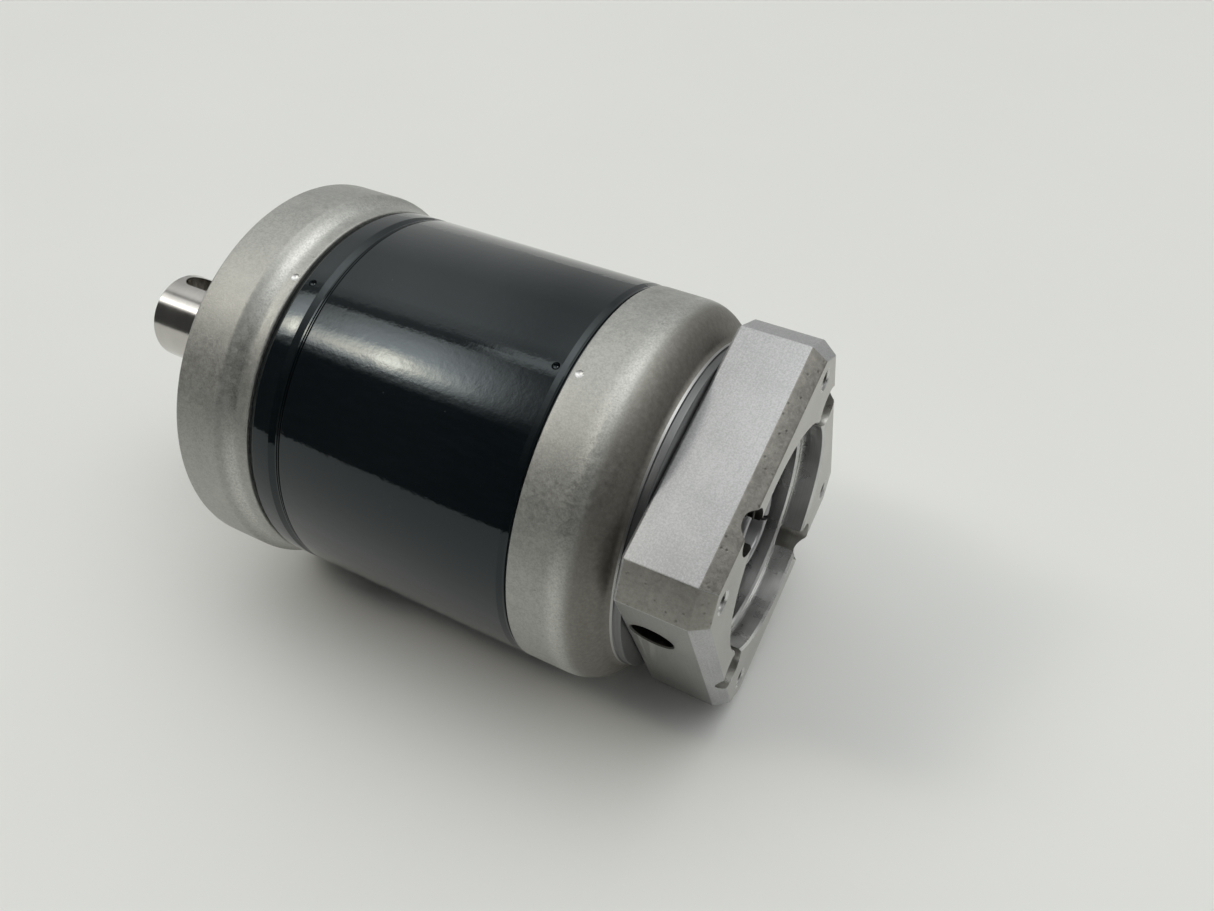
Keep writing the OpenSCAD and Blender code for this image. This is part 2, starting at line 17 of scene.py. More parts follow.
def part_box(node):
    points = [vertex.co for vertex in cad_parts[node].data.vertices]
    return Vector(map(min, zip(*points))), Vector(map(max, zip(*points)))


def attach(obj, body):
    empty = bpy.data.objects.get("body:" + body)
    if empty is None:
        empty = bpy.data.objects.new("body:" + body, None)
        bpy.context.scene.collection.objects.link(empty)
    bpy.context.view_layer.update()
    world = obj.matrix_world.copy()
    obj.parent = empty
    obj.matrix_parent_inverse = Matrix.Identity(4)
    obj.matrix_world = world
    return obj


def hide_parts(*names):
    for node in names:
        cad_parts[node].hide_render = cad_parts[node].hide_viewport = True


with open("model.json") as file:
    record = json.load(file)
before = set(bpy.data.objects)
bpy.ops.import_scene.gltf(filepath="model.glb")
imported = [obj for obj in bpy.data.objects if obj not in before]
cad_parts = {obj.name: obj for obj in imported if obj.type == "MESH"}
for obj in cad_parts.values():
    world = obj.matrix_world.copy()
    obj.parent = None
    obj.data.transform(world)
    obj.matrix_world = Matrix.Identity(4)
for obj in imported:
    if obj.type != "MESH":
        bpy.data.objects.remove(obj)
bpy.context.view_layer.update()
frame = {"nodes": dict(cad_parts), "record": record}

MM = 0.001
SEGMENTS = 288  # round the shaft axis


def span(node):
    """First X, last X and largest reach from the axis of a CAD node, in mm."""
    low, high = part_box(node)
    reach = max(high[1], -low[1], high[2], -low[2])
    return round(low[0] / MM, 2), round(high[0] / MM, 2), round(reach / MM, 1)


# Driving measures, from the frame --------------------------------------------------------------

PILOT_X, OUT_SPIGOT_X, FLANGE_R = span("output_housing")
TUBE_X0, TUBE_X1, BODY_R = span("ring_gear")
IN_SPIGOT_X, NOSE_X, _ = span("input_housing")
JOINT_X, FACE_X, _ = span("motor_adapter")
SHAFT_X0, CAGE_X1, CAGE_R = span("output_shaft")
SCREW_X, HEAD_X, _ = span("adapter_screws")
HUB_X0, HUB_X1, _ = span("input_hub")
COLLAR_X0, COLLAR_X1, COLLAR_R = span("clamp_collar")

ADAPTER_TURN = 22.5  # turn of the adapter's square about the axis
CORNER_TURN = 45.0  # first of the four screws and of the four output bolts
PUNCH_ANGLE = 112.5
KEY_ANGLE = 75.0
SCREW_AT = 29.0  # reach of the adapter's screws from the axis
MOTOR_BOLTS_AT = 35.0
OUTPUT_BOLTS_AT = 40.0
PLANETS = 3
PLANETS_AT = 22.5
FIRST_PLANET = 90.0
SPIGOT_R = 39.0  # both housings fit the tube at this radius
BODY_SHARP, BLOCK_SHARP = 28, 18  # degrees from which an edge is drawn sharp


# Mesh helpers ----------------------------------------------------------------------------------


def rounded(corners, steps=6):
    """Loop of (x, r) points from corners (x, r, fillet radius)."""
    points = []
    for i, (x, r, fillet) in enumerate(corners):
        corner = Vector((x, r))
        if fillet <= 0:
            points.append(corner)
            continue
        before = (Vector(corners[i - 1][:2]) - corner).normalized()
        after = (Vector(corners[(i + 1) % len(corners)][:2]) - corner).normalized()
        half = before.angle(after) / 2
        centre = corner + (before + after).normalized() * (fillet / math.sin(half))
        start = corner + before * (fillet / math.tan(half)) - centre
        end = corner + after * (fillet / math.tan(half)) - centre
        turn = start.angle_signed(end)
        for k in range(steps + 1):
            points.append(centre + Matrix.Rotation(-turn * k / steps, 2) @ start)
    return points


def arc(x, r, radius, first, last, steps):
    """Points of an arc round (x, r), angles in degrees from +X towards +r."""
    angles = [math.radians(first + (last - first) * k / steps) for k in range(steps + 1)]
    return [Vector((x + radius * math.cos(a), r + radius * math.sin(a))) for a in angles]


def made(name, bm, material, sharp=BODY_SHARP):
    """Turns a bmesh into an object with smooth faces and sharp edges where it turns hard."""
    bmesh.ops.recalc_face_normals(bm, faces=bm.faces)
    mesh = bpy.data.meshes.new(name)
    bm.to_mesh(mesh)
    bm.free()
    mesh.materials.append(material)
    piece = bpy.data.objects.new(name, mesh)
    bpy.context.scene.collection.objects.link(piece)
    shade(piece, sharp)
    return piece


def shade(piece, sharp=BODY_SHARP):
    """Smooth faces, with edges sharp where the surface turns by more than the given angle."""
    piece.data.shade_smooth()
    piece.data.set_sharp_from_angle(angle=math.radians(sharp))


def revolve(bm, outline, segments=SEGMENTS, angles=None, ripple=None, place=Matrix.Identity(4)):
    """Adds a closed solid turned round the X axis to a bmesh.

    outline is a loop of (x, r), angles the turns in radians and ripple(x, r, a) what is added to a radius.
    """
    angles = angles or [2 * math.pi * j / segments for j in range(segments)]
    rings = []
    for x, r in outline:
        ring = []
        for a in angles[:1] if r < 1e-6 else angles:
            reach = r + (ripple(x, r, a) if ripple else 0)
            point = Vector((x, reach * math.cos(a), reach * math.sin(a))) * MM
            ring.append(bm.verts.new(place @ point))
        rings.append(ring)
    for ring, after in zip(rings, rings[1:] + rings[:1]):
        for j in range(len(angles)):
            k = (j + 1) % len(angles)
            near, far = len(ring), len(after)
            corners = (ring[j % near], ring[k % near], after[k % far], after[j % far])
            face = list(dict.fromkeys(corners))
            if len(face) > 2:
                bm.faces.new(face)


def lathe(name, outline, material):
    bm = bmesh.new()
    revolve(bm, outline)
    return made(name, bm, material)


def prism(bm, outline, depth, place):
    """Adds an upright prism: outline is a loop of (x, y), extruded along Z by depth, then placed."""
    low = [bm.verts.new(place @ (Vector((x, y, 0)) * MM)) for x, y in outline]
    high = [bm.verts.new(place @ (Vector((x, y, depth)) * MM)) for x, y in outline]
    bm.faces.new(low)
    bm.faces.new(high)
    for i in range(len(low)):
        k = (i + 1) % len(low)
        bm.faces.new((low[i], low[k], high[k], high[i]))


def turned(angle):
    """Turn round the shaft axis by an angle in degrees."""
    return Matrix.Rotation(math.radians(angle), 4, "X")


def at(x, reach, angle):
    """Moves what is drawn round the X axis to a place at reach from the shaft axis."""
    return turned(angle) @ Matrix.Translation(Vector((x, reach, 0)) * MM)


def reach_of(face):
    """Distance of a face's centre from the shaft axis, in mm."""
    return math.hypot(face.center.y, face.center.z) / MM


def combine(piece, bm, material, operation="DIFFERENCE"):
    """Cuts a bmesh out of a piece, or joins it on. New faces take the given material."""
    tool = made(piece.name + "_tool", bm, material)
    step = piece.modifiers.new("boolean", "BOOLEAN")
    step.operation, step.object, step.solver = operation, tool, "EXACT"
    step.material_mode = "TRANSFER"
    graph = bpy.context.evaluated_depsgraph_get()
    shaped = bpy.data.meshes.new_from_object(piece.evaluated_get(graph))
    piece.modifiers.clear()
    old, piece.data = piece.data, shaped
    bpy.data.meshes.remove(old)
    bpy.data.objects.remove(tool)
    shade(piece)


def thread(mouth, bottom, drill_r, pitch, depth, chamfer):
    """Outline of a tapped hole's cutter that opens at x = mouth and ends in a drill point."""
    way = 1 if mouth > bottom else -1
    points = [(mouth + way, 0), (mouth + way, drill_r + chamfer), (mouth, drill_r + chamfer)]
    turns = int((abs(mouth - bottom) - chamfer - 1) / pitch)
    for k in range(turns):
        x = mouth - way * (chamfer + k * pitch)
        points += [(x, drill_r), (x - way * pitch * 0.5, drill_r + depth)]
    points += [(mouth - way * (chamfer + turns * pitch), drill_r), (bottom, drill_r)]
    points += [(bottom - way * drill_r * 0.6, 0)]
    return points


# Materials -------------------------------------------------------------------------------------


class Nodes:
    """A small writer for one material's node tree."""

    def __init__(self, name):
        self.material = bpy.data.materials.new(name)
        self.material.use_nodes = True
        self.tree = self.material.node_tree
        self.shader = self.tree.nodes["Principled BSDF"]
        self.place = self.tree.nodes.new("ShaderNodeTexCoord").outputs["Object"]

    def add(self, kind, **inputs):
        node = self.tree.nodes.new(kind)
        for key, value in inputs.items():
            self.join(value, node.inputs[key.replace("_", " ")])
        return node

    def join(self, value, socket):
        if isinstance(value, bpy.types.NodeSocket):
            self.tree.links.new(value, socket)
        else:
            socket.default_value = value

    def stretch(self, x=1.0, y=1.0, z=1.0):
        return self.add("ShaderNodeMapping", Vector=self.place, Scale=(x, y, z)).outputs[0]

    def noise(self, scale, detail=3.0, roughness=0.6, vector=None):
        """Cloudy noise round 0.5. Unless its vector is stretched, 1 / scale is its grain in metres."""
        node = self.add("ShaderNodeTexNoise", Vector=vector or self.place, Scale=scale, Detail=detail,
                        Roughness=roughness)
        return node.outputs["Fac"]

    def along(self, *stops):
        """Share 0..1 that follows (x in mm, share) stops along the shaft axis."""
        axis = self.add("ShaderNodeSeparateXYZ", Vector=self.place).outputs["X"]
        first, last = stops[0][0] * MM, stops[-1][0] * MM
        ramp = self.add("ShaderNodeValToRGB", Fac=self.levels(axis, first, last))
        elements = ramp.color_ramp.elements
        elements.remove(elements[1])
        for i, (x, share) in enumerate(stops):
            place = (x - stops[0][0]) / (stops[-1][0] - stops[0][0])
            element = elements.new(place) if i else elements[0]
            element.position = place
            element.color = (share, share, share, 1)
        return ramp.outputs[0]

    def spots(self, scale):
        node = self.add("ShaderNodeTexVoronoi", Vector=self.place, Scale=scale, Randomness=1.0)
        return node.outputs["Distance"]

    def levels(self, value, low, high, out_low=0.0, out_high=1.0):
        node = self.tree.nodes.new("ShaderNodeMapRange")
        for socket, number in zip(node.inputs[:5], (value, low, high, out_low, out_high)):
            self.join(number, socket)
        return node.outputs[0]

    def blend(self, factor, first, second):
        node = self.tree.nodes.new("ShaderNodeMix")
        node.data_type = "RGBA"
        self.join(factor, node.inputs[0])
        for socket, colour in ((node.inputs[6], first), (node.inputs[7], second)):
            self.join(colour if isinstance(colour, bpy.types.NodeSocket) else (*colour, 1), socket)
        return node.outputs[2]

    def sum(self, first, second, weight):
        """first + weight * second."""
        node = self.tree.nodes.new("ShaderNodeMath")
        node.operation = "MULTIPLY_ADD"
        for socket, value in zip(node.inputs, (second, weight, first)):
            self.join(value, socket)
        return node.outputs[0]

    def product(self, first, second):
        node = self.tree.nodes.new("ShaderNodeMath")
        node.operation = "MULTIPLY"
        for socket, value in zip(node.inputs, (first, second)):
            self.join(value, socket)
        return node.outputs[0]

    def bump(self, height, strength, distance_mm):
        node = self.add("ShaderNodeBump", Height=height, Strength=strength, Distance=distance_mm * MM)
        self.join(node.outputs[0], self.shader.inputs["Normal"])

    def finish(self, **values):
        for key, value in values.items():
            socket = self.shader.inputs[key.replace("_", " ")]
            if key == "Base_Color" and not isinstance(value, bpy.types.NodeSocket):
                value = (*value, 1)
            self.join(value, socket)
        return self.material


def shaded(colour, share):
    """A colour times a share, at most 1 in each channel."""
    return tuple(min(1.0, share * c) for c in colour)


def blasted(name, light, dark, rough, rubbed_and_highlit, shade_stops):
    """Bead-blasted cast aluminium: fine grain and a few pits, edges rubbed smoother and painted brighter as
    a highlight, and a brown band painted darker as shade.

    `rubbed_and_highlit` and `shade_stops` are (x in mm, share) stops along the shaft axis.
    """
    shade_colour = (0.17, 0.158, 0.138)
    n = Nodes(name)
    grains = n.noise(2600, 2, 0.7)
    specks = n.noise(900, 3, 0.65)
    clouds = n.noise(190, 5, 0.7)
    tone = n.sum(n.sum(specks, clouds, 0.4), grains, 1.0)
    pits = n.levels(n.spots(260), 0.02, 0.09, 1.0, 0.0)
    colour = n.blend(n.levels(tone, 0.98, 1.42), dark, light)
    colour = n.blend(n.levels(pits, 0.0, 1.0, 0.0, 0.35), colour, shaded(dark, 0.35))
    rub_and_highlight = n.along(*rubbed_and_highlit)
    # Painted highlight: the rubbed bands' colour is lifted brighter; their lower roughness below is real
    # wear.
    colour = n.blend(n.product(rub_and_highlight, n.levels(grains, 0.3, 0.7)), colour, shaded(light, 1.4))
    # Painted shade: the shoulder's inward face, turned away from the light, is darkened to brown down to the
    # neck.
    shade_share = n.product(n.along(*shade_stops), n.levels(n.noise(1000, 4, 0.7), 0.3, 0.65, 0.78, 1.0))
    colour = n.blend(shade_share, colour, shade_colour)
    height = n.sum(n.sum(grains, specks, 0.8), pits, -0.5)
    n.bump(height, 0.55, 0.05)
    level = n.sum(n.levels(specks, 0.3, 0.7, rough - 0.06, rough + 0.08), rub_and_highlight, -0.22)
    return n.finish(Base_Color=colour, Metallic=1.0, Roughness=level)


def turned_metal(name, colour, rough, lines=0.35, pitch_mm=0.12):
    """Metal turned or ground round the shaft axis, with fine rings along it. lines is their strength."""
    n = Nodes(name)
    rings = n.noise(1.0, 4, 0.75, n.stretch(1 / (pitch_mm * MM), 14, 14))
    cloud = n.noise(160, 3, 0.55)
    tone = n.levels(n.sum(rings, cloud, 0.6), 0.5, 1.1)
    n.bump(rings, lines, 0.012)
    return n.finish(Base_Color=n.blend(tone, shaded(colour, 0.72), colour), Metallic=1.0,
                    Roughness=n.levels(cloud, 0.3, 0.7, rough * 0.85, rough * 1.2))


def milled(name, light, dark, rough):
    """Milled aluminium: straight fine tool lines and a fine bright speckle."""
    n = Nodes(name)
    speckle = n.noise(2800, 3, 0.7)
    lines = n.noise(1.0, 3, 0.7, n.stretch(5200, 60, 60))
    cloud = n.noise(80, 3, 0.5)
    tone = n.sum(n.sum(speckle, cloud, 0.3), lines, 0.25)
    n.bump(n.sum(speckle, lines, 0.4), 0.4, 0.03)
    return n.finish(Base_Color=n.blend(n.levels(tone, 0.64, 0.91), dark, light), Metallic=1.0,
                    Roughness=n.levels(speckle, 0.3, 0.7, rough - 0.05, rough + 0.07))


def cast_rough(name, light, dark):
    """As-cast skin: darker, brownish and pitted."""
    n = Nodes(name)
    grains = n.noise(1100, 4, 0.75)
    clouds = n.noise(240, 4, 0.6)
    pits = n.levels(n.spots(620), 0.05, 0.22, 1.0, 0.0)
    colour = n.blend(n.levels(n.sum(grains, clouds, 0.4), 0.52, 0.88), dark, light)
    colour = n.blend(n.levels(pits, 0.0, 1.0, 0.0, 0.6), colour, shaded(dark, 0.45))
    n.bump(n.sum(n.sum(grains, clouds, 0.4), pits, -0.8), 0.8, 0.11)
    return n.finish(Base_Color=colour, Metallic=1.0, Roughness=n.levels(grains, 0.3, 0.7, 0.48, 0.62))


def gloss_black(name):
    """Gloss black coat with orange peel, faint scuffs and dust specks."""
    n = Nodes(name)
    peel = n.noise(420, 2, 0.5)
    ripple = n.noise(1100, 2, 0.5)
    fine = n.noise(2400, 2, 0.6)
    scuff = n.noise(1.0, 4, 0.7, n.stretch(180, 900, 900))
    dust = n.levels(n.spots(190), 0.0, 0.035, 1.0, 0.0)
    colour = n.blend(n.levels(scuff, 0.45, 0.75), (0.0022, 0.0042, 0.0056), (0.004, 0.0065, 0.0085))
    colour = n.blend(n.levels(dust, 0.0, 1.0, 0.0, 0.5), colour, (0.12, 0.13, 0.13))
    n.bump(n.sum(n.sum(peel, ripple, 0.55), fine, 0.2), 0.34, 0.05)
    return n.finish(Base_Color=colour, Metallic=0.0, IOR=1.5, Specular_Tint=(0.86, 0.96, 1.0, 1.0),
                    Roughness=n.levels(scuff, 0.35, 0.75, 0.04, 0.08))


def moulded(name, colour, rough):
    """Moulded rubber with a fine matt grain."""
    n = Nodes(name)
    grains = n.noise(1800, 3, 0.6)
    n.bump(grains, 0.3, 0.03)
    return n.finish(Base_Color=n.blend(n.levels(grains, 0.35, 0.65), colour, shaded(colour, 1.6)),
                    Roughness=n.levels(grains, 0.3, 0.7, rough - 0.08, rough + 0.08))


def bright_steel(name, colour, rough):
    """Hardened and polished steel with light handling marks."""
    n = Nodes(name)
    marks = n.noise(1.0, 4, 0.7, n.stretch(900, 300, 300))
    cloud = n.noise(220, 3, 0.5)
    tone = n.levels(n.sum(marks, cloud, 0.5), 0.55, 0.95)
    n.bump(marks, 0.12, 0.01)
    return n.finish(Base_Color=n.blend(tone, shaded(colour, 0.78), colour), Metallic=1.0,
                    Roughness=n.levels(cloud, 0.3, 0.7, rough * 0.8, rough * 1.25))


def plain_floor(name, dark, light):
    """Matt pale table top, a little cloudy."""
    n = Nodes(name)
    cloud = n.noise(9, 4, 0.5)
    n.bump(n.noise(700, 2, 0.5), 0.05, 0.05)
    return n.finish(Base_Color=n.blend(cloud, dark, light), Roughness=0.55)


# (x, share) stops: rubbed edges of the flange's step and of the shoulder, also painted brighter as a
# highlight, and painted brown shade over the shoulder's inward face down to the neck
RUBBED_AND_HIGHLIT = ((12.2, 0.0), (13.3, 0.5), (14.4, 0.6), (15.2, 0.2), (16.4, 0.0),
          (90.5, 0.0), (92.5, 0.5), (94, 0.45), (95.2, 0.0))
SHOULDER_SHADE = ((93, 0.0), (94.8, 0.2), (96.2, 0.75), (98, 0.92), (101, 0.95), (104, 0.8))

HOUSING = blasted("blasted_aluminium", (0.5, 0.5, 0.475), (0.37, 0.37, 0.35), 0.54, RUBBED_AND_HIGHLIT, SHOULDER_SHADE)
# Painted shade: the turned neck is near-black for the shade between the housing and the adapter.
SHADED_NECK = turned_metal("turned_aluminium_painted_shade", (0.2, 0.203, 0.205), 0.33, 0.5)
RIM = turned_metal("polished_rim", (0.42, 0.42, 0.415), 0.3, 0.3)
BLACK = gloss_black("gloss_black_coat")
SIDE = milled("milled_aluminium", (0.56, 0.562, 0.566), (0.4, 0.402, 0.406), 0.55)
# Painted shade: a darker milled finish for the adapter's sides that face down.
SHADED_UNDERSIDE = milled("lower_sides_painted_shade", (0.4, 0.4, 0.385), (0.29, 0.29, 0.28), 0.42)
BEVEL = cast_rough("cast_skin", (0.385, 0.37, 0.34), (0.225, 0.215, 0.196))
CORNER = cast_rough("cast_corner", (0.43, 0.42, 0.39), (0.3, 0.29, 0.265))
FACE = milled("faced_aluminium", (0.56, 0.55, 0.53), (0.46, 0.45, 0.43), 0.4)
BORED = turned_metal("bored_aluminium", (0.74, 0.74, 0.73), 0.28, 0.6, pitch_mm=0.2)
REAMED = turned_metal("reamed_aluminium", (0.72, 0.71, 0.68), 0.3, 0.3, pitch_mm=0.3)
PUNCHED = turned_metal("punched_aluminium", (0.86, 0.86, 0.85), 0.45, 0.4)
# Painted shade: near-black walls inside the access hole and one screw pocket.
SHADED = turned_metal("drilled_walls_painted_shade", (0.07, 0.068, 0.063), 0.35, 0.4)
SHAFT = turned_metal("ground_steel", (0.62, 0.6, 0.57), 0.14, 0.2, pitch_mm=0.06)
GEAR = turned_metal("case_hardened_steel", (0.4, 0.4, 0.41), 0.36, 0.4)
BEARING = bright_steel("bearing_steel", (0.7, 0.7, 0.71), 0.14)
BRASS = turned_metal("cage_brass", (0.75, 0.56, 0.27), 0.3, 0.4)
BRONZE = turned_metal("thrust_bronze", (0.6, 0.4, 0.23), 0.36, 0.5)
RUBBER = moulded("seal_rubber", (0.018, 0.018, 0.02), 0.55)
SPRING = bright_steel("spring_steel", (0.27, 0.27, 0.28), 0.32)
OXIDE = bright_steel("black_oxide_steel", (0.055, 0.055, 0.06), 0.36)
TABLE = plain_floor("pale_table", (0.79, 0.793, 0.772), (0.82, 0.823, 0.802))

FINISHES = {"blasted_housing": HOUSING, "machined_adapter": SIDE, "black_tube": BLACK,
            "ground_shaft": SHAFT, "gear_steel": GEAR, "bearing_steel": BEARING, "cage_brass": BRASS,
            "thrust_bronze": BRONZE, "seal_rubber": RUBBER, "spring_steel": SPRING, "screw_steel": OXIDE}

# Housings --------------------------------------------------------------------------------------

ADAPTER_BORE_R = 23.2
PILOT_R = 25.0
GROOVE_R = 37.3
PILOT_STEP_X = FACE_X - 5.0
BEVEL_LENGTH = 3.2
POCKET_X = HEAD_X - 5.0
POCKET_R = 4.75
# The pocket whose wall is painted near-black as shade.
SHADED_POCKET = 1
MARK, BRIGHT_MARK = (0.9, 0.28), (1.4, 1.08)  # ball radius and height of its centre above the body
# +X of this place runs out through the access hole
CLAMP_LINE = (turned(ADAPTER_TURN + 180)
              @ Matrix.Translation(Vector(((COLLAR_X0 + COLLAR_X1) / 2, 0, -11.5)) * MM)
              @ Matrix.Rotation(math.radians(90), 4, "Z"))
UPRIGHT = Matrix.Rotation(math.radians(90), 4, "Z") @ turned(90)  # turns +Z onto +X


def four_turns():
    """The four diagonal turns where screws, pockets and output bolts sit."""
    return [CORNER_TURN + 90 * k for k in range(4)]


def punch(piece, x, material, mark):
    """Presses a small round witness mark into the body's surface."""
    radius, above = mark
    bm = bmesh.new()
    revolve(bm, arc(0, 0, radius, 0, 180, 24), 32, place=at(x, BODY_R + above, PUNCH_ANGLE))
    combine(piece, bm, material)


def output_housing():
    """Pilot, flange, the step down to the tube, the spigot with its O-ring groove, then the seats inside."""
    pilot_r, spigot_bore_r, bearing_r, seal_r = 34, 34, 27.5, 21
    groove_x0, groove_x1 = TUBE_X0 + 4, TUBE_X0 + 6.4
    piece = lathe("output_housing_shell", rounded([
        (PILOT_X, pilot_r, 0.5), (0, pilot_r, 0.25), (0, FLANGE_R, 0.7), (11.3, FLANGE_R, 1.8),
        (14.7, BODY_R, 4.5), (TUBE_X0, BODY_R, 0.45), (TUBE_X0, SPIGOT_R, 0), (groove_x0, SPIGOT_R, 0),
        (groove_x0, GROOVE_R, 0.2), (groove_x1, GROOVE_R, 0.2), (groove_x1, SPIGOT_R, 0),
        (OUT_SPIGOT_X, SPIGOT_R, 0.4), (OUT_SPIGOT_X, spigot_bore_r, 0.4), (18.5, spigot_bore_r, 0.2),
        (18.5, bearing_r, 0.2), (4, bearing_r, 0.2), (4, 23, 0.2), (2, 23, 0.2), (2, seal_r, 0.2),
        (PILOT_X, seal_r, 0.4)]), HOUSING)
    bm = bmesh.new()
    for turn in four_turns():
        revolve(bm, thread(0, 11, 2.5, 1.0, 0.45, 0.5), 32, place=at(0, OUTPUT_BOLTS_AT, turn))
    combine(piece, bm, BORED)
    punch(piece, TUBE_X0 - 1.25, PUNCHED, BRIGHT_MARK)
    return piece


def cavity_outline(teeth, tip_r, root_r, back, steps):
    """Turn in radians and radius round the ring gear's cavity, module 1, with involute flanks.

    tip_r and root_r are the reach of its teeth's tips and roots, back the play on each flank.
    """
    pressure = math.radians(20)
    pitch_r = teeth / 2
    base_r = pitch_r * math.cos(pressure)

    def half(r):
        lean = math.acos(base_r / r)
        flank = math.tan(pressure) - pressure - math.tan(lean) + lean
        return math.pi / 2 / teeth + back / pitch_r + flank

    radii = [tip_r + (root_r - tip_r) * i / steps for i in range(steps + 1)]
    turns = []
    for k in range(teeth):
        middle = 2 * math.pi * (k + 0.5) / teeth
        turns += [(middle - half(r), r) for r in radii] + [(middle + half(r), r) for r in reversed(radii)]
    return turns


def ring_gear():
    """Tube with a stepped outline at both joints, one groove with two thin ridges, and teeth inside."""
    turns = dict(cavity_outline(teeth=72, tip_r=35.0, root_r=37.25, back=0.06, steps=5))
    tooth_mark = 36.0  # stands for the toothed radius until ripple puts it right
    steps = ((TUBE_X0, 0.87, 0.1), (TUBE_X0 + 1.75, 0, 0.4),
             (23.8, 0, 0.35), (25.15, 0.55, 0.12), (25.45, 0.55, 0.05), (25.65, 0.12, 0.08),
             (25.9, 0.12, 0.05), (25.95, 0.4, 0.04), (26.12, 0.4, 0.04), (26.2, 0.06, 0.08),
             (26.45, 0.06, 0.05), (26.5, 0.35, 0.04), (26.66, 0.35, 0.04), (26.8, 0, 0.08),
             (TUBE_X1 - 2.1, 0, 0.4), (TUBE_X1 - 1.05, 0.45, 0.15), (TUBE_X1 - 0.6, 0.45, 0.1),
             (TUBE_X1 - 0.45, 0.85, 0.05), (TUBE_X1, 0.85, 0.05))  # x, depth below the body, fillet
    skin = [(x, BODY_R - deep, fillet) for x, deep, fillet in steps]
    outline = rounded([(TUBE_X0, SPIGOT_R, 0)] + skin + [(TUBE_X1, SPIGOT_R, 0)], 4)
    inside = ((75.5, SPIGOT_R), (75.5, tooth_mark), (34, tooth_mark), (34, SPIGOT_R))
    outline += [Vector(p) for p in inside]
    bm = bmesh.new()
    revolve(bm, outline, angles=list(turns), ripple=lambda x, r, a: turns[a] - r if r == tooth_mark else 0)
    piece = made("ring_gear_tube", bm, BLACK)
    piece.data.materials.append(GEAR)
    for face in piece.data.polygons:
        if reach_of(face) < SPIGOT_R - 0.1:
            face.material_index = 1
    for x in (TUBE_X0 + 3.4, TUBE_X1 - 3.2):
        punch(piece, x, BLACK, MARK)
    return piece


def input_housing():
    """Rounded shoulder, a small fillet at its foot, then the turned neck that meets the adapter."""
    shoulder_x, shoulder_c, shoulder_r, foot, neck_r = 92.2, 33.3, 9.5, 1.6, 36.0
    stage_r, bearing_r, seal_r, nose_r = 31.5, 26, 20, 23.1
    groove_x0, groove_x1 = TUBE_X1 - 4, TUBE_X1 - 1.6
    lean = math.radians(25)  # where the shoulder's arc meets the foot's
    foot_x = shoulder_x + (shoulder_r + foot) * math.cos(lean)
    foot_r = shoulder_c + (shoulder_r + foot) * math.sin(lean)
    outline = rounded([
        (IN_SPIGOT_X, stage_r, 0), (IN_SPIGOT_X, SPIGOT_R, 0.4), (groove_x0, SPIGOT_R, 0),
        (groove_x0, GROOVE_R, 0.2), (groove_x1, GROOVE_R, 0.2), (groove_x1, SPIGOT_R, 0),
        (TUBE_X1, SPIGOT_R, 0), (TUBE_X1, BODY_R, 0.35), (TUBE_X1 + 2, BODY_R, 0)])
    outline += arc(shoulder_x, shoulder_c, shoulder_r, 90, 25, 28)[1:]
    outline += arc(foot_x, foot_r, foot, 205, 262, 8)[1:]
    outline += rounded([
        (foot_x + 0.05, neck_r + 0.35, 0), (foot_x + 0.25, neck_r, 0), (JOINT_X, neck_r, 0.25),
        (JOINT_X, nose_r, 0), (NOSE_X, nose_r, 0.3), (NOSE_X, seal_r, 0.3), (100.5, seal_r, 0),
        (100.5, 18, 0.2), (98.5, 18, 0.2), (98.5, bearing_r, 0.2), (83.35, bearing_r, 0), (83.35, 27.2, 0),
        (82, 27.2, 0), (82, bearing_r, 0), (81.5, bearing_r, 0.2), (81.5, stage_r, 0.4)])
    piece = lathe("input_housing_shell", outline, HOUSING)
    piece.data.materials.append(SHADED_NECK)
    piece.data.materials.append(RIM)
    for face in piece.data.polygons:
        # Faces past the foot take the neck's painted shade; a thin band at the foot takes the polished rim.
        if face.center.x > (foot_x + 0.02) * MM:
            face.material_index = 1
        elif face.center.x > (foot_x - 0.35) * MM and reach_of(face) > neck_r - 1:
            face.material_index = 2
    bm = bmesh.new()
    for turn in four_turns():
        revolve(bm, thread(JOINT_X, 92, 2.47, 0.8, 0.4, 0.3), 32, place=at(0, SCREW_AT, turn))
    combine(piece, bm, BORED)
    punch(piece, TUBE_X1 + 1.85, PUNCHED, BRIGHT_MARK)
    return piece


# Motor adapter ---------------------------------------------------------------------------------


def octagon(half, leg):
    """(y, z) corners of the square with cut corners."""
    points = []
    for k in range(4):
        c, s = math.cos(math.pi / 2 * k), math.sin(math.pi / 2 * k)
        points += [(half * c - e * (half - leg) * s, half * s + e * (half - leg) * c) for e in (-1, 1)]
    return points


def adapter_block():
    """Square block with cut corners, a small chamfer at its back and a bevelled front edge."""
    half, leg, bevel_in = 32.5, 6.1, 2.1
    front_leg = leg - bevel_in * (2 - math.sqrt(2))
    turn = turned(ADAPTER_TURN)
    bm = bmesh.new()
    loops = []
    for x, inset, cut in ((JOINT_X, 0.6, leg), (JOINT_X + 0.6, 0, leg), (FACE_X - BEVEL_LENGTH, 0, leg),
                          (FACE_X, bevel_in, front_leg)):
        outline = octagon(half - inset, cut)
        loops.append([bm.verts.new(turn @ (Vector((x, y, z)) * MM)) for y, z in outline])
    bm.faces.new(loops[0])
    bm.faces.new(loops[-1])
    for low, high in zip(loops, loops[1:]):
        for i in range(8):
            bm.faces.new((low[i], low[(i + 1) % 8], high[(i + 1) % 8], high[i]))
    bmesh.ops.recalc_face_normals(bm, faces=bm.faces)
    bmesh.ops.bevel(bm, geom=bm.edges[:], offset=0.22 * MM, segments=3, profile=0.5, affect="EDGES")
    return made("motor_adapter_block", bm, SIDE, sharp=BLOCK_SHARP)


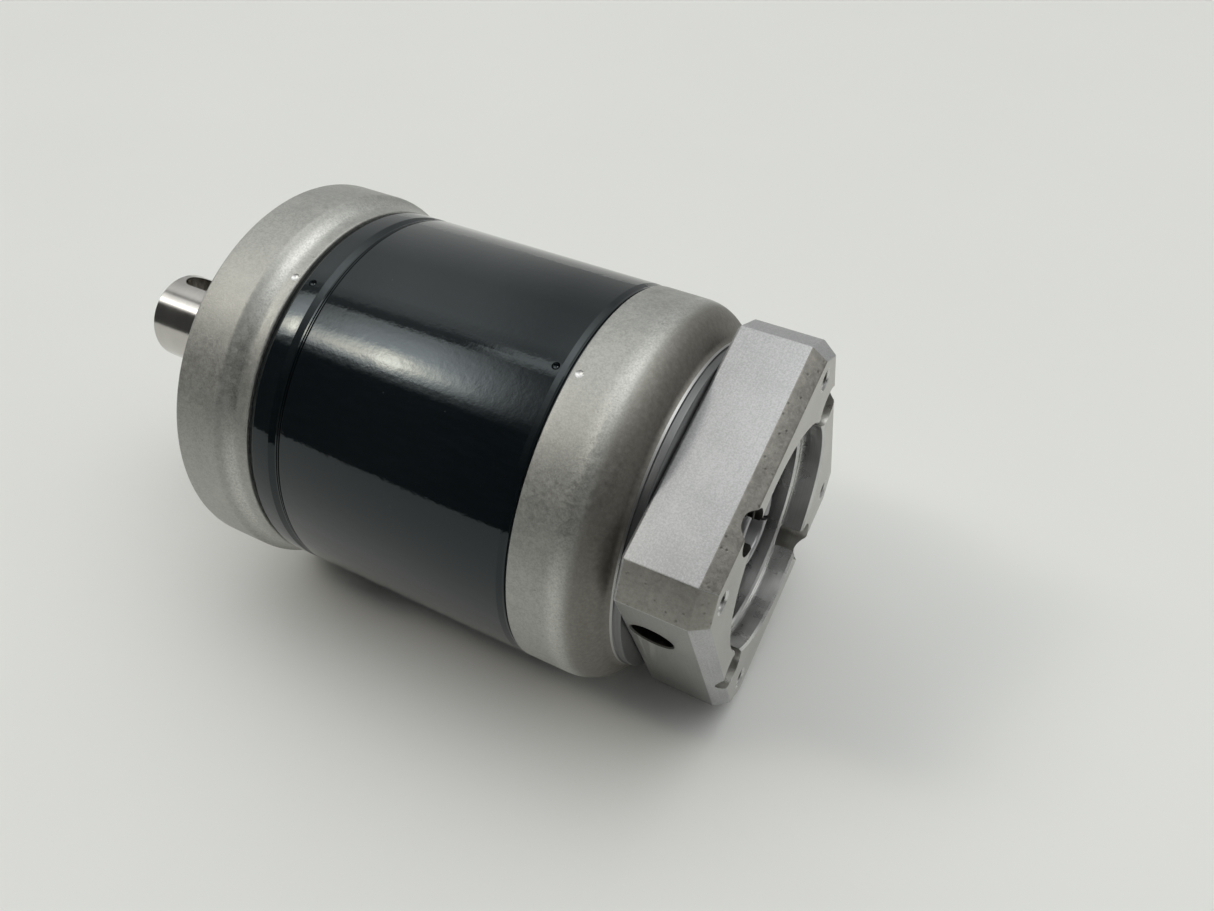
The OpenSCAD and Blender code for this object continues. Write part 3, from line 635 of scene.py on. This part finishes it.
def pocket_outline(ridge=0.0):
    """Screw pocket with its clearance hole; the one whose wall is painted dark as shade has ridges round it.
    """
    hole_r = 2.75
    outline = [(JOINT_X - 1, 0), (JOINT_X - 1, hole_r), (POCKET_X, hole_r), (POCKET_X, POCKET_R)]
    turns = 7 if ridge else 0
    for k in range(turns):
        x = POCKET_X + 1 + (FACE_X - POCKET_X - 1.6) * k / turns
        outline += [(x, POCKET_R), (x + 0.25, POCKET_R - ridge), (x + 0.5, POCKET_R)]
    return outline + [(FACE_X - 0.05, POCKET_R), (FACE_X + 1, POCKET_R + 0.05), (FACE_X + 1, 0)]


def motor_adapter():
    """The block with its stepped bore, pilot, screw pockets, tapped holes and access hole."""
    piece = adapter_block()
    bore = bmesh.new()
    step = PILOT_STEP_X
    revolve(bore, [(JOINT_X - 1, 0), (JOINT_X - 1, ADAPTER_BORE_R), (step - 0.5, ADAPTER_BORE_R),
                   (step, 23.7), (step, PILOT_R), (step + 0.1, PILOT_R + 0.1), (step + 0.7, PILOT_R + 0.1),
                   (step + 0.8, PILOT_R), (FACE_X - 0.5, PILOT_R), (FACE_X + 1, PILOT_R + 1.5),
                   (FACE_X + 1, 0)])
    combine(piece, bore, BORED)
    pockets = bmesh.new()
    taps = bmesh.new()
    shaded_pocket = bmesh.new()
    for k, turn in enumerate(four_turns()):
        into, ridge = (shaded_pocket, 0.16) if k == SHADED_POCKET else (pockets, 0.0)
        revolve(into, pocket_outline(ridge), 72, place=at(0, SCREW_AT, turn))
        revolve(taps, thread(FACE_X, FACE_X - 12, 2.1, 0.8, 0.4, 0.4), 36,
                place=at(0, MOTOR_BOLTS_AT, ADAPTER_TURN + turn))
    combine(piece, pockets, REAMED)
    combine(piece, taps, BORED)
    # The shaded pocket's wall and the access hole get the painted shade.
    combine(piece, shaded_pocket, SHADED)
    access = bmesh.new()
    revolve(access, [(15, 0), (15, 4.5), (32.2, 4.5), (32.5, 4.8), (34, 4.8), (34, 0)], 72, place=CLAMP_LINE)
    combine(piece, access, SHADED)
    paint_adapter(piece)
    return piece


def paint_adapter(piece):
    """Front face and cast edges get their own finishes, the lower sides a darker one as painted shade; what
    a tool cut keeps the tool's.

    heading is the turn round the shaft that a face looks towards. The sides look towards 22.5, 112.5, 202.5
    and 292.5 degrees and the cut corners towards the turns between them.
    """
    cast_side, cast_corner, spread = 112.5, 157.5, 20
    for extra in (FACE, BEVEL, SHADED_UNDERSIDE, CORNER):
        piece.data.materials.append(extra)
    names = [m.name for m in piece.data.materials]
    for face in piece.data.polygons:
        if names[face.material_index] != SIDE.name:
            continue
        heading = math.degrees(math.atan2(face.normal.z, face.normal.y)) % 360
        front = face.normal.x > 0.2 and face.center.x > (FACE_X - BEVEL_LENGTH - 0.2) * MM
        if face.normal.x > 0.995:
            face.material_index = names.index(FACE.name)
        elif front and abs(heading - cast_side) < spread:
            face.material_index = names.index(BEVEL.name)
        elif face.normal.x > -0.2 and abs(heading - cast_corner) < spread:
            face.material_index = names.index(CORNER.name)
        # Sides facing down are painted darker as shade.
        elif not front and abs(face.normal.x) < 0.2 and 180 < heading < 330:
            face.material_index = names.index(SHADED_UNDERSIDE.name)


# Screws, seals and the motor clamp -------------------------------------------------------------


def screw_outline(end, seat, top, shank_r, head_r):
    """Outline of a socket-head screw from its end at x = end to the top of its head."""
    return [(end, 0), (end, shank_r - 0.4), (end + 0.4, shank_r), (seat - 0.2, shank_r),
            (seat, shank_r + 0.2), (seat, head_r - 0.2), (seat + 0.2, head_r), (top - 0.5, head_r),
            (top, head_r - 0.5), (top, 0)]


def knurl(head_r, ridges):
    return lambda x, r, a: -0.09 * (1 + math.cos(ridges * a)) if r == head_r else 0


def hex_recess(bm, start, depth, corner_r, place):
    """Adds a hexagonal prism that starts at x = start of a place and runs along its +X."""
    turns = [math.pi / 3 * k for k in range(6)]
    prism(bm, [(corner_r * math.cos(a), corner_r * math.sin(a)) for a in turns], depth,
          place @ Matrix.Translation(Vector((start, 0, 0)) * MM) @ UPRIGHT)


def adapter_screws():
    head_r = 4.25
    bm = bmesh.new()
    recesses = bmesh.new()
    for turn in four_turns():
        place = at(0, SCREW_AT, turn)
        revolve(bm, screw_outline(SCREW_X, POCKET_X, HEAD_X, 2.45, head_r), 144, place=place,
                ripple=knurl(head_r, 36))
        hex_recess(recesses, HEAD_X - 2.6, 4, 2.3, place)
    piece = made("adapter_socket_screws", bm, OXIDE)
    combine(piece, recesses, OXIDE)
    return piece


def lip_seal(name, x, width, outer_r, shaft_r):
    """Moulded seal: a case wall, a web with two ribs and a lip that leans onto the shaft."""
    end = x + width
    return lathe(name, rounded([
        (x, outer_r, 0.4), (end, outer_r, 0.3), (end, outer_r - 1, 0.2), (x + 1.4, outer_r - 1, 0.3),
        (x + 1.4, shaft_r + 1.6, 0.3), (end - 2, shaft_r + 1.2, 0.2), (end - 1, shaft_r + 0.8, 0.15),
        (end - 2.2, shaft_r + 0.05, 0), (end - 3, shaft_r + 0.5, 0.2), (x, shaft_r + 0.5, 0.2),
        (x, shaft_r + 1.6, 0.1), (x + 0.3, shaft_r + 1.8, 0.1), (x + 0.3, outer_r - 1.8, 0.1),
        (x, outer_r - 1.6, 0.1)], 4), RUBBER)


def input_hub():
    """Bearing seat with a ring groove, then the sleeve that is slotted in four places for the clamp."""
    seat_r, sleeve_r, slot = 12.5, 9.25, 1.2
    piece = lathe("input_clamp_hub", rounded([
        (HUB_X0, 5, 0.2), (HUB_X0, 14.5, 0.5), (83.5, 14.5, 0.2), (83.5, seat_r, 0), (98.5, seat_r, 0),
        (98.5, 11.7, 0), (99.85, 11.7, 0), (99.85, seat_r, 0), (105.7, seat_r, 0.4), (105.7, sleeve_r, 0.3),
        (HUB_X1, sleeve_r, 0.5), (HUB_X1, 7, 0.7), (92, 7, 0), (92, 5, 0)], 4), GEAR)
    for turn in (45, 135):
        cut = bmesh.new()
        prism(cut, [(104, -10.25), (118, -10.25), (118, 10.25), (104, 10.25)], slot,
              turned(ADAPTER_TURN + turn) @ Matrix.Translation((0, 0, -slot / 2 * MM)))
        combine(piece, cut, GEAR)
    return piece


def clamp_collar():
    """Ring with a slit and, across it, the stepped hole of the clamp screw."""
    bore_r = 9.27
    piece = lathe("clamp_collar_ring", rounded([
        (COLLAR_X0, bore_r, 0.3), (COLLAR_X0, COLLAR_R, 0.6), (COLLAR_X1, COLLAR_R, 0.6),
        (COLLAR_X1, bore_r, 0.3)], 4), OXIDE)
    bore = bmesh.new()
    revolve(bore, [(-30, 0), (-30, 2.05), (8, 2.05), (8, 3.6), (30, 3.6), (30, 0)], 48, place=CLAMP_LINE)
    combine(piece, bore, OXIDE)
    slit = bmesh.new()
    first, last, half, depth = COLLAR_X0 - 1, COLLAR_X1 + 1, 0.8, 22
    prism(slit, [(first, -half), (last, -half), (last, half), (first, half)], depth,
          turned(ADAPTER_TURN + 180) @ Matrix.Translation((0, 0, -depth * MM)))
    combine(piece, slit, OXIDE)
    return piece


def clamp_screw():
    head_r = 3.5
    bm = bmesh.new()
    revolve(bm, screw_outline(-10, 8, 12, 2.0, head_r), 144, place=CLAMP_LINE, ripple=knurl(head_r, 30))
    piece = made("clamp_socket_screw", bm, OXIDE)
    recess = bmesh.new()
    hex_recess(recess, 10, 3, 1.75, CLAMP_LINE)
    combine(piece, recess, OXIDE)
    return piece


# Output shaft ----------------------------------------------------------------------------------


def output_shaft():
    """Shaft end, seal and bearing seats, then the two discs and webs that carry the planets."""
    shaft_r, seat_r, rear_seat_r, hole_r = 11, 15, 20, 12
    disc_x = (34, 39), (54, CAGE_X1)  # front and rear disc
    piece = lathe("output_shaft_and_carrier", rounded([
        (SHAFT_X0, 0, 0), (SHAFT_X0, 10.2, 0.15), (SHAFT_X0 + 0.8, shaft_r, 0.2), (-10, shaft_r, 0.6),
        (-10, seat_r, 0.7), (2.45, seat_r, 0.1), (2.45, 14.2, 0), (4, 14.2, 0), (4, seat_r, 0),
        (17, seat_r, 0), (17, rear_seat_r, 0.4), (33.5, rear_seat_r, 0), (33.5, 22, 0.2), (34, 22, 0),
        (disc_x[0][0], CAGE_R, 0.6), (disc_x[0][1], CAGE_R, 0.6), (disc_x[0][1], 0, 0)]), SHAFT)
    rear_disc = bmesh.new()
    first, last = disc_x[1]
    revolve(rear_disc, rounded([(first, hole_r, 0.5), (first, CAGE_R, 0.6), (last, CAGE_R, 0.6),
                                (last, hole_r, 0.5)]))
    webs = bmesh.new()
    pins = bmesh.new()
    for k in range(PLANETS):
        turn = FIRST_PLANET + 360 / PLANETS * k
        revolve(webs, [(38, 0), (38, 4.5), (55, 4.5), (55, 0)], 64, place=at(0, CAGE_R - 5.5, turn + 60))
        revolve(pins, [(33, 0), (33, 4), (60, 4), (60, 0)], 64, place=at(0, PLANETS_AT, turn))
    combine(piece, webs, SHAFT, "UNION")
    combine(piece, rear_disc, SHAFT, "UNION")
    combine(piece, pins, SHAFT)
    combine(piece, keyway(), SHAFT)
    centre_hole = bmesh.new()
    revolve(centre_hole, thread(SHAFT_X0, SHAFT_X0 + 16, 3.4, 1.25, 0.6, 1.0), 48)
    combine(piece, centre_hole, SHAFT)
    return piece


def keyway():
    """Cutter of the round-ended keyway, 28 mm long and 6 mm wide."""
    width, start, length, bottom, depth = 6.0, 2.5, 28.0, 7.5, 6
    half = width / 2
    first, last = SHAFT_X0 + start + half, SHAFT_X0 + start + length - half
    outline = []
    for x, side in ((last, 1), (first, -1)):
        for k in range(17):
            a = math.radians(-90 + 180 * k / 16)
            outline.append((x + side * half * math.cos(a), side * half * math.sin(a)))
    cut = bmesh.new()
    prism(cut, outline, depth, turned(KEY_ANGLE) @ Matrix.Translation((0, bottom * MM, 0)) @ turned(-90))
    return cut


# Assembly --------------------------------------------------------------------------------------


def stand_for(piece, node, body):
    """Lets a piece ride on a body in place of a CAD node, which it hides."""
    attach(piece, body)
    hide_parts(node)


def dress_cad_nodes():
    """Gives every CAD node that still shows the finish of its material slot."""
    slots = {row["node"]: row["material_slot"] for row in frame["record"]["subparts"]}
    for name, node in frame["nodes"].items():
        for holder in node.material_slots:
            holder.material = FINISHES[slots[name]]


stand_for(output_housing(), "output_housing", "housing")
stand_for(ring_gear(), "ring_gear", "housing")
stand_for(input_housing(), "input_housing", "housing")
stand_for(motor_adapter(), "motor_adapter", "housing")
stand_for(adapter_screws(), "adapter_screws", "housing")
stand_for(lip_seal("output_lip_seal", PILOT_X, 7, 21, 15), "output_seal", "housing")
stand_for(lip_seal("input_lip_seal", 100.5, 5, 20, 12.5), "input_seal", "housing")
stand_for(output_shaft(), "output_shaft", "output")
stand_for(input_hub(), "input_hub", "input")
stand_for(clamp_collar(), "clamp_collar", "input")
stand_for(clamp_screw(), "clamp_screw", "input")
dress_cad_nodes()


# Stage -----------------------------------------------------------------------------------------


def floor():
    """A pale table under the flange's rim and the input housing's shoulder."""
    flange_x, shoulder_x = 11, 92.2
    lean = math.atan2(FLANGE_R - BODY_R, shoulder_x - flange_x)
    side, near, far = 1.6, -0.8, 1.6  # metres
    bm = bmesh.new()
    bounds = ((-side, near), (side, near), (side, far), (-side, far))
    bm.faces.new([bm.verts.new((x, y, 0)) for x, y in bounds])
    piece = made("floor", bm, TABLE)
    piece.matrix_world = (Matrix.Translation(Vector((flange_x, 0, -FLANGE_R)) * MM)
                          @ Matrix.Rotation(-lean, 4, "Y"))


# World light, in pairs. The first of a pair is brightness by the angle in degrees round the shaft axis: from
# level on the far side (0) over the top to level on the near side (180), the same below as above. The second
# is a share by how far the direction points along the axis, from -1 to 1. Walls and ceiling are broad. The
# window, its warm core and the strip are what the black tube mirrors.
WALLS = ((0, 0.62), (45, 0.74), (62, 1.0), (76, 1.2), (84, 0.95), (88, 0.4), (93, 0.32), (110, 0.4),
         (126, 0.14), (132, 0.08), (180, 0.08))
WALLS_ALONG = ((-1, 0.6), (-0.7, 0.75), (-0.62, 0.95), (-0.52, 0.95), (-0.42, 0.7), (-0.2, 0.75), (0.3, 0.7),
               (0.6, 0.4), (1, 0.3))
WINDOW = ((92, 0.0), (94.5, 1.9), (99, 2.7), (103, 3.6), (108, 4.4), (113, 4.4), (118, 4.0), (122, 2.6),
          (125, 0.8), (129, 0.0))
WINDOW_ALONG = ((-0.8, 0.0), (-0.66, 0.9), (-0.6, 1.0), (-0.56, 1.0), (-0.53, 0.8), (-0.49, 0.6),
                (-0.45, 0.36), (-0.4, 0.12), (-0.34, 0.0))
CORE = ((108, 0.0), (112, 6.0), (114, 9.5), (117, 13.0), (119, 9.0), (121, 3.5), (124, 0.3), (126, 0.0))
CORE_ALONG = ((-0.8, 0.0), (-0.7, 0.5), (-0.66, 0.6), (-0.64, 0.75), (-0.62, 1.3), (-0.605, 1.15),
              (-0.59, 0.8), (-0.57, 0.5), (-0.54, 0.28), (-0.5, 0.12), (-0.46, 0.0))
STRIP = ((84, 0.0), (86.5, 1.5), (90.5, 1.8), (94, 0.0))
STRIP_ALONG = ((-0.52, 0.0), (-0.47, 1.0), (-0.42, 1.0), (-0.3, 0.5), (-0.1, 0.3), (0.2, 0.0))
CEILING = ((35, 0.0), (55, 0.6), (75, 1.65), (92, 1.65), (104, 0.6), (125, 0.12), (150, 0.0))
CEILING_ALONG = ((-0.42, 0.0), (-0.15, 0.35), (0.05, 1.15), (0.4, 1.1), (0.65, 0.4), (1, 0.1))
PLAIN_LIGHT = (0.985, 1.0, 0.985, 1)
WARM_LIGHT = (1.0, 0.93, 0.8, 1)
WARM_FROM = 6.0  # brightness of the core at which the light is fully warm


def room():
    """World light by direction round and along the shaft axis."""
    world = bpy.data.worlds.new("room")
    world.use_nodes = True
    tree = world.node_tree

    def math_node(operation, *values):
        node = tree.nodes.new("ShaderNodeMath")
        node.operation = operation
        for socket, value in zip(node.inputs, values):
            if isinstance(value, (int, float)):
                socket.default_value = value
            else:
                tree.links.new(value, socket)
        return node.outputs[0]

    def curve(stops, value, first, last):
        ramp = tree.nodes.new("ShaderNodeValToRGB")
        top = max(level for _, level in stops)
        elements = ramp.color_ramp.elements
        elements.remove(elements[1])
        for i, (place, level) in enumerate(stops):
            share = (place - first) / (last - first)
            element = elements.new(share) if i else elements[0]
            element.position = share
            element.color = (level / top, level / top, level / top, 1)
        share = math_node("DIVIDE", math_node("SUBTRACT", value, first), last - first)
        tree.links.new(share, ramp.inputs[0])
        return math_node("MULTIPLY", ramp.outputs[0], top)

    split = tree.nodes.new("ShaderNodeSeparateXYZ")
    tree.links.new(tree.nodes.new("ShaderNodeTexCoord").outputs["Generated"], split.inputs[0])
    height = math_node("ABSOLUTE", split.outputs["Z"])
    angle = math_node("MULTIPLY", math_node("ARCTAN2", height, split.outputs["Y"]), 180 / math.pi)

    def patch(around, along):
        return math_node("MULTIPLY", curve(around, angle, 0, 180), curve(along, split.outputs["X"], -1, 1))

    total = math_node("ADD", patch(WALLS, WALLS_ALONG), patch(WINDOW, WINDOW_ALONG))
    core = patch(CORE, CORE_ALONG)
    for light in (core, patch(STRIP, STRIP_ALONG), patch(CEILING, CEILING_ALONG)):
        total = math_node("ADD", total, light)
    background = tree.nodes["Background"]
    tree.links.new(total, background.inputs["Strength"])
    warmth = tree.nodes.new("ShaderNodeMix")
    warmth.data_type = "RGBA"
    factor, plain, warm = warmth.inputs[0], warmth.inputs[6], warmth.inputs[7]
    tree.links.new(math_node("DIVIDE", core, WARM_FROM), factor)
    plain.default_value, warm.default_value = PLAIN_LIGHT, WARM_LIGHT
    tree.links.new(warmth.outputs[2], background.inputs["Color"])
    bpy.context.scene.world = world


def camera():
    """Viewpoint and lens, from above the near side, towards the motor adapter."""
    data = bpy.data.cameras.new("camera")
    data.sensor_width, data.lens = 36.0, 29.77
    data.clip_start, data.clip_end = 0.01, 20
    eye = bpy.data.objects.new("camera", data)
    place, aim, roll = Vector((158.15, -143.85, 151.95)) * MM, Vector((79.0, 4.77, 0.38)) * MM, 0.66
    look = (aim - place).to_track_quat("-Z", "Y").to_matrix().to_4x4()
    eye.matrix_world = Matrix.Translation(place) @ look @ Matrix.Rotation(math.radians(roll), 4, "Z")
    bpy.context.scene.collection.objects.link(eye)
    bpy.context.scene.camera = eye


floor()
room()
camera()
bpy.context.scene.view_settings.view_transform = "Standard"
